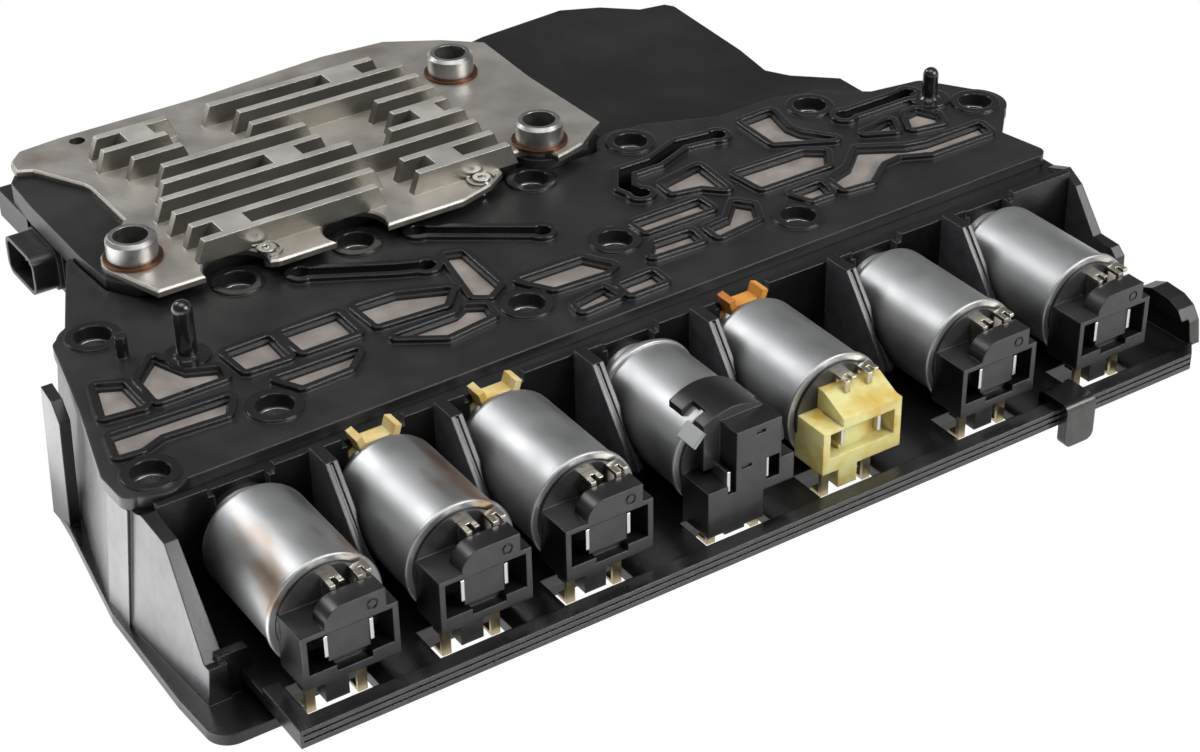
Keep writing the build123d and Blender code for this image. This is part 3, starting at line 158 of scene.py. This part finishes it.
# Lamps: name, place, target, width and height in metres, power in watts
LAMPS = (
    ("overhead", (-0.1, -0.1, 1.3), (0, 0, 0), (1.0, 0.7), 8),
    ("front_panel", (0.55, -0.85, 0.70), (0, 0, 0), (0.7, 0.55), 12),
    ("rear_band", (-0.38, 0.85, 0.72), (0, 0, 0), (0.45, 0.35), 4),
    ("left_panel", (-0.365, 0.1, 0.001), (-0.365, 0.1, 1), (0.5, 0.95), 3.6),
)

# Studio brightness from the horizon, 0, to straight up, 1
STUDIO_LEVELS = ((0.0, 0.9), (0.10, 0.45), (0.35, 0.16), (0.60, 0.20), (0.85, 0.35), (1.0, 0.9))
STUDIO_STRENGTH = 0.9


class Surface:
    """A principled material and the few node forms that the finishes use."""

    def __init__(self, name, roughness=0.5, metallic=0.0):
        self.material = bpy.data.materials.new(name)
        self.material.use_nodes = True
        self.nodes = self.material.node_tree.nodes
        self.links = self.material.node_tree.links
        self.shader = self.nodes["Principled BSDF"]
        self.shader.inputs["Roughness"].default_value = roughness
        self.shader.inputs["Metallic"].default_value = metallic
        self.place = self.nodes.new("ShaderNodeTexCoord").outputs["Object"]

    def noise(self, size, detail=3.0, stretch=(1, 1, 1)):
        """Noise whose features are about that size, in metres."""
        mapping = self.nodes.new("ShaderNodeMapping")
        mapping.inputs["Scale"].default_value = stretch
        self.links.new(self.place, mapping.inputs["Vector"])
        node = self.nodes.new("ShaderNodeTexNoise")
        node.inputs["Scale"].default_value = 1 / size
        node.inputs["Detail"].default_value = detail
        self.links.new(mapping.outputs["Vector"], node.inputs["Vector"])
        return node.outputs["Fac"]

    def ramp(self, factor, low, high, start, end):
        """A value that goes from start to end as the factor goes from low to high."""
        node = self.nodes.new("ShaderNodeMapRange")
        for socket, value in (("From Min", low), ("From Max", high), ("To Min", start), ("To Max", end)):
            node.inputs[socket].default_value = value
        self.links.new(factor, node.inputs["Value"])
        return node.outputs["Result"]

    def mix(self, factor, first, second):
        """Colour between two others, each a colour or a socket."""
        node = self.nodes.new("ShaderNodeMix")
        node.data_type = "RGBA"
        self.links.new(factor, node.inputs["Factor"])
        for socket, value in ((node.inputs[6], first), (node.inputs[7], second)):
            if isinstance(value, tuple):
                socket.default_value = (*value, 1)
            else:
                self.links.new(value, socket)
        return node.outputs[2]

    def height(self):
        """Height above the underside."""
        split = self.nodes.new("ShaderNodeSeparateXYZ")
        self.links.new(self.place, split.inputs["Vector"])
        return split.outputs["Z"]

    def facing(self, axis, none, full):
        """Zero to one as the surface's normal turns along an axis."""
        geometry = self.nodes.new("ShaderNodeNewGeometry")
        split = self.nodes.new("ShaderNodeSeparateXYZ")
        self.links.new(geometry.outputs["Normal"], split.inputs["Vector"])
        return self.ramp(split.outputs[axis], none, full, 0.0, 1.0)

    def product(self, first, second):
        """Two values multiplied."""
        node = self.nodes.new("ShaderNodeMath")
        node.operation = "MULTIPLY"
        self.links.new(first, node.inputs[0])
        self.links.new(second, node.inputs[1])
        return node.outputs[0]

    def colour(self, value):
        """Sets the base colour."""
        if isinstance(value, tuple):
            self.shader.inputs["Base Color"].default_value = (*value, 1)
        else:
            self.links.new(value, self.shader.inputs["Base Color"])

    def rough(self, socket):
        """Lets a value drive the roughness."""
        self.links.new(socket, self.shader.inputs["Roughness"])

    def relief(self, height, depth, edge):
        """Bump of that depth over edges rounded by that radius, both in metres."""
        bevel = self.nodes.new("ShaderNodeBevel")
        bevel.samples = 4
        bevel.inputs["Radius"].default_value = edge
        if height is None:
            self.links.new(bevel.outputs["Normal"], self.shader.inputs["Normal"])
            return
        bump = self.nodes.new("ShaderNodeBump")
        bump.inputs["Strength"].default_value = 1.0
        bump.inputs["Distance"].default_value = depth
        self.links.new(height, bump.inputs["Height"])
        self.links.new(bevel.outputs["Normal"], bump.inputs["Normal"])
        self.links.new(bump.outputs["Normal"], self.shader.inputs["Normal"])


def black_moulding(name, low, high, base=BLACK, film=BLACK_DUST, painted_sheen=None, axis="Y"):
    """Oily black plastic, smoother where the oil lies, with a speckled painted sheen on its front or left
    faces.
    """
    surface = Surface(name)
    patches = surface.noise(OIL_PATCH, 4)
    skin = surface.mix(surface.ramp(patches, 0.45, 0.75, 0, 0.7), base, film)
    # Painted sheen: faces turned towards minus the axis take a lighter, speckled colour that stands in for
    # reflected light
    if painted_sheen:
        specks = surface.ramp(surface.noise(SHEEN_SPECK, 4), 0.3, 0.7, 0.55, 1.0)
        skin = surface.mix(surface.product(surface.facing(axis, -0.4, -0.85), specks), skin, painted_sheen)
    surface.colour(skin)
    surface.rough(surface.ramp(patches, 0.35, 0.7, low, high))
    surface.relief(surface.noise(MOULDED_GRAIN, 3), MOULDED_DEPTH, MOULDED_EDGE)
    surface.shader.inputs["IOR"].default_value = OILY_PLASTIC_IOR
    return surface.material


def beaded_plate(name):
    """Satin black plastic whose raised beads and bosses shine with oil."""
    surface = Surface(name)
    patches = surface.noise(PLATE_PATCH, 4)
    surface.colour(surface.mix(surface.ramp(patches, 0.45, 0.75, 0, 0.6), BLACK, BLACK_DUST))
    flat = surface.ramp(patches, 0.35, 0.7, 0.34, 0.48)
    shine = surface.ramp(surface.height(), BEAD_START, BEAD_FULL, 1.0, 0.36)
    surface.rough(surface.product(flat, shine))
    surface.relief(surface.noise(MOULDED_GRAIN, 3), PLATE_DEPTH, BEAD_EDGE)
    surface.shader.inputs["IOR"].default_value = OILY_PLASTIC_IOR
    return surface.material


def cast_aluminium(name):
    """Die-cast metal with brownish stains, a grainy skin, painted shade on its sides and a painted highlight
    on its fin tops.
    """
    surface = Surface(name, metallic=0.9)
    stains = surface.noise(CAST_STAIN_PATCH, 6)
    level = surface.mix(surface.ramp(stains, 0.54, 0.72, 0, 0.8), CAST_LIGHT, CAST_STAIN)
    # Painted highlight: the fin tops turn lighter above RIDGE_START
    level = surface.mix(surface.ramp(surface.height(), RIDGE_START, RIDGE_FULL, 0, 0.9), level, CAST_RIDGE_PAINTED_HIGHLIGHT)
    # Painted shade: faces that turn away from straight up take a darker colour
    surface.colour(surface.mix(surface.facing("Z", 0.75, 0.25), level, CAST_PAINTED_SHADE))
    surface.rough(surface.ramp(surface.noise(GLOSS_PATCH, 5), 0.3, 0.7, 0.36, 0.52))
    surface.relief(surface.noise(CAST_GRAIN, 4), CAST_DEPTH, METAL_EDGE)
    return surface.material


def drawn_steel(name, stain):
    """Plated drawn steel, streaked along the draw and stained by heat in places."""
    surface = Surface(name, metallic=1.0)
    patches = surface.noise(CAN_STAIN_PATCH, 3, ALONG_STAIN)
    surface.colour(surface.mix(surface.ramp(patches, 0.56, 0.66, 0, stain), STEEL, STEEL_STAIN))
    surface.rough(surface.ramp(surface.noise(GLOSS_PATCH, 3), 0.3, 0.7, 0.40, 0.50))
    surface.relief(surface.noise(CAN_GRAIN, 2, ALONG_GRAIN), CAN_DEPTH, METAL_EDGE)
    return surface.material


def plain_metal(name, colour, roughness):
    """Plain metal with a slightly uneven gloss."""
    surface = Surface(name, metallic=1.0)
    surface.colour(colour)
    gloss = surface.noise(FINE_GLOSS_PATCH)
    surface.rough(surface.ramp(gloss, 0.3, 0.7, roughness * 0.8, roughness * 1.25))
    surface.relief(None, 0, METAL_EDGE)
    return surface.material


def woven_screen(name):
    """Beige filter mesh: two crossed waves make the weave."""
    surface = Surface(name, roughness=0.62)
    cloth = surface.noise(CLOTH_PATCH, 3)
    surface.colour(surface.mix(surface.ramp(cloth, 0.35, 0.65, 0, 1), SCREEN_LIGHT, SCREEN_DARK))
    threads = []
    for axis in ("X", "Y"):
        wave = surface.nodes.new("ShaderNodeTexWave")
        wave.bands_direction = axis
        wave.inputs["Scale"].default_value = 1 / (math.pi * THREAD_WIDTH)
        surface.links.new(surface.place, wave.inputs["Vector"])
        threads.append(wave.outputs["Fac"])
    surface.relief(surface.product(*threads), THREAD_DEPTH, METAL_EDGE)
    return surface.material


def mottled_nylon(name, pale, deep, scatter):
    """Translucent nylon, deeper where it is thick or stained."""
    surface = Surface(name, roughness=0.34)
    blotches = surface.noise(NYLON_BLOTCH, 4)
    surface.colour(surface.mix(surface.ramp(blotches, 0.42, 0.66, 0, 1), pale, deep))
    surface.shader.inputs["Subsurface Weight"].default_value = scatter
    surface.shader.inputs["Subsurface Radius"].default_value = NYLON_SCATTER_RADIUS
    surface.shader.inputs["Subsurface Scale"].default_value = NYLON_SCATTER_DEPTH
    surface.relief(surface.noise(NYLON_GRAIN, 3), NYLON_DEPTH, MOULDED_EDGE)
    return surface.material


def plain_plastic(name, colour, roughness):
    """Plain plastic or rubber."""
    surface = Surface(name, roughness=roughness)
    surface.colour(colour)
    surface.relief(None, 0, MOULDED_EDGE)
    return surface.material


# Each material slot's finish and its values
FINISHES = {
    # The housing, tray and connector mouldings carry a painted sheen on their left or front faces
    "housing_black": (black_moulding, 0.24, 0.38, BLACK_DEEP, BLACK_FILM, SIDE_PAINTED_SHEEN, "X"),
    "plate_black": (beaded_plate,),
    "tray_black": (black_moulding, 0.2, 0.36, BLACK_DEEP, BLACK_FILM, FRONT_PAINTED_SHEEN),
    "electronics_black": (black_moulding, 0.3, 0.5),
    "socket_black": (black_moulding, 0.25, 0.4),
    "connector_black": (black_moulding, 0.28, 0.44, BLACK_DEEP, BLACK_DUST, CONNECTOR_PAINTED_SHEEN),
    "sink_aluminium": (cast_aluminium,),
    "can_steel": (drawn_steel, 0.0),
    "bushing_steel": (plain_metal, TURNED_STEEL, 0.36),
    "rivet_steel": (plain_metal, BRIGHT_STEEL, 0.2),
    "ring_copper": (plain_metal, RING_BROWN, 0.45),
    "sleeve_steel": (plain_metal, BRIGHT_STEEL, 0.3),
    "pin_tin": (plain_metal, TIN, 0.3),
    "lug_tin": (plain_metal, TIN, 0.28),
    "blade_tin": (plain_metal, BRIGHT_STEEL, 0.2),
    "leg_brass": (plain_metal, BRASS, 0.35),
    "coil_copper": (plain_metal, COPPER, 0.4),
    "armature_steel": (plain_metal, STEEL, 0.3),
    "spring_steel": (plain_metal, STEEL, 0.3),
    "screen": (woven_screen,),
    "connector_nylon": (mottled_nylon, NYLON_PALE, NYLON_DEEP, 0.35),
    "nose_amber": (mottled_nylon, AMBER, AMBER_BROWN, 0.2),
    "nose_black": (plain_plastic, BLACK, 0.35),
    "board": (plain_plastic, BOARD_GREEN, 0.4),
    "seal_rubber": (plain_plastic, SEAL_BLACK, 0.5),
}


def paint_nodes():
    """Gives every CAD node its finish by its material slot."""
    finishes = {name: make(name, *values) for name, (make, *values) in FINISHES.items()}
    stained = drawn_steel("can_steel_stained", 0.9)
    pale_nose = mottled_nylon("nose_pale", HORN_PALE, NYLON_DEEP, 0.3)
    special = {name: stained for name in STAINED_CANS} | {name: pale_nose for name in PALE_NOSES}
    for part in frame["record"]["subparts"]:
        finish = special.get(part["node"], finishes[part["material_slot"]])
        for slot in frame["nodes"][part["node"]].material_slots:
            slot.material = finish


def add_springs():
    """Copies of the return springs, hung on their joints' parents in place of the CAD nodes."""
    for joint in frame["record"]["behaviour"]["joints"]:
        for spring in joint["deforming_nodes"]:
            node = frame["nodes"][spring["node"]]
            piece = bpy.data.objects.new(spring["node"] + "_coils", node.data.copy())
            bpy.context.collection.objects.link(piece)
            piece.matrix_world = node.matrix_world
            for slot, painted in zip(piece.material_slots, node.material_slots):
                slot.material = painted.material
            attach(piece, joint["parent"])
            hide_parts(spring["node"])
            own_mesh(piece)


def floor_material():
    """White to the camera and in reflections, and a plain surface to the lights."""
    material = bpy.data.materials.new("floor_white")
    material.use_nodes = True
    nodes, links = material.node_tree.nodes, material.node_tree.links
    nodes.clear()
    output = nodes.new("ShaderNodeOutputMaterial")
    plain = nodes.new("ShaderNodeBsdfDiffuse")
    plain.inputs["Color"].default_value = (*FLOOR_WHITE, 1)
    glow = nodes.new("ShaderNodeEmission")
    glow.inputs["Strength"].default_value = 1.0
    path = nodes.new("ShaderNodeLightPath")
    seen = nodes.new("ShaderNodeMath")
    seen.operation = "MAXIMUM"
    links.new(path.outputs["Is Camera Ray"], seen.inputs[0])
    links.new(path.outputs["Is Glossy Ray"], seen.inputs[1])
    blend = nodes.new("ShaderNodeMixShader")
    links.new(seen.outputs[0], blend.inputs["Fac"])
    links.new(plain.outputs[0], blend.inputs[1])
    links.new(glow.outputs[0], blend.inputs[2])
    links.new(blend.outputs[0], output.inputs["Surface"])
    return material


def add_floor():
    """The pale floor under the module."""
    bpy.ops.mesh.primitive_plane_add(size=FLOOR_SIZE, location=(0, 0, -FLOOR_GAP))
    floor = bpy.context.object
    floor.name = "floor"
    floor.data.materials.append(floor_material())


def add_softbox(name, place, target, size, power):
    """A rectangular lamp that faces its target and stays out of the camera's sight."""
    lamp = bpy.data.lights.new(name, "AREA")
    lamp.shape = "RECTANGLE"
    lamp.size, lamp.size_y = size
    lamp.energy = power
    holder = bpy.data.objects.new(name, lamp)
    bpy.context.collection.objects.link(holder)
    holder.location = place
    holder.rotation_euler = (Vector(target) - Vector(place)).to_track_quat("-Z", "Y").to_euler()
    holder.visible_camera = False


def light_scene():
    """Soft studio light: overhead, a front panel for the edges, a rear band and a floor panel on the left."""
    for lamp in LAMPS:
        add_softbox(*lamp)


def set_world():
    """White to the camera, and a plain grey studio to the object."""
    world = bpy.data.worlds.new("studio")
    bpy.context.scene.world = world
    world.use_nodes = True
    nodes, links = world.node_tree.nodes, world.node_tree.links
    nodes.clear()
    output = nodes.new("ShaderNodeOutputWorld")
    place = nodes.new("ShaderNodeTexCoord")
    split = nodes.new("ShaderNodeSeparateXYZ")
    links.new(place.outputs["Generated"], split.inputs["Vector"])
    ramp = nodes.new("ShaderNodeValToRGB")
    for position, _ in STUDIO_LEVELS[1:-1]:
        ramp.color_ramp.elements.new(position)
    for element, (_, level) in zip(ramp.color_ramp.elements, STUDIO_LEVELS):
        element.color = (level, level, level, 1)
    links.new(split.outputs["Z"], ramp.inputs["Fac"])
    studio = nodes.new("ShaderNodeBackground")
    studio.inputs["Strength"].default_value = STUDIO_STRENGTH
    links.new(ramp.outputs["Color"], studio.inputs["Color"])
    white = nodes.new("ShaderNodeBackground")
    white.inputs["Strength"].default_value = 1.0
    path = nodes.new("ShaderNodeLightPath")
    blend = nodes.new("ShaderNodeMixShader")
    links.new(path.outputs["Is Camera Ray"], blend.inputs["Fac"])
    links.new(studio.outputs[0], blend.inputs[1])
    links.new(white.outputs[0], blend.inputs[2])
    links.new(blend.outputs[0], output.inputs["Surface"])


def add_camera():
    """The camera at the photo's place and angle."""
    azimuth, elevation = math.radians(CAMERA_AZIMUTH), math.radians(CAMERA_ELEVATION)
    level = math.cos(elevation)
    forward = Vector((math.sin(azimuth) * level, math.cos(azimuth) * level, -math.sin(elevation)))
    roll = Quaternion((0, 0, 1), math.radians(CAMERA_ROLL))
    camera = bpy.data.cameras.new("camera")
    camera.lens = CAMERA_LENS
    camera.sensor_width = SENSOR_WIDTH
    camera.sensor_fit = "HORIZONTAL"
    holder = bpy.data.objects.new("camera", camera)
    bpy.context.collection.objects.link(holder)
    holder.location = CAMERA_PLACE
    holder.rotation_mode = "QUATERNION"
    holder.rotation_quaternion = forward.to_track_quat("-Z", "Y") @ roll
    bpy.context.scene.camera = holder


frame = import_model()
paint_nodes()
add_springs()
add_floor()
light_scene()
set_world()
add_camera()
bpy.context.scene.view_settings.view_transform = "Standard"
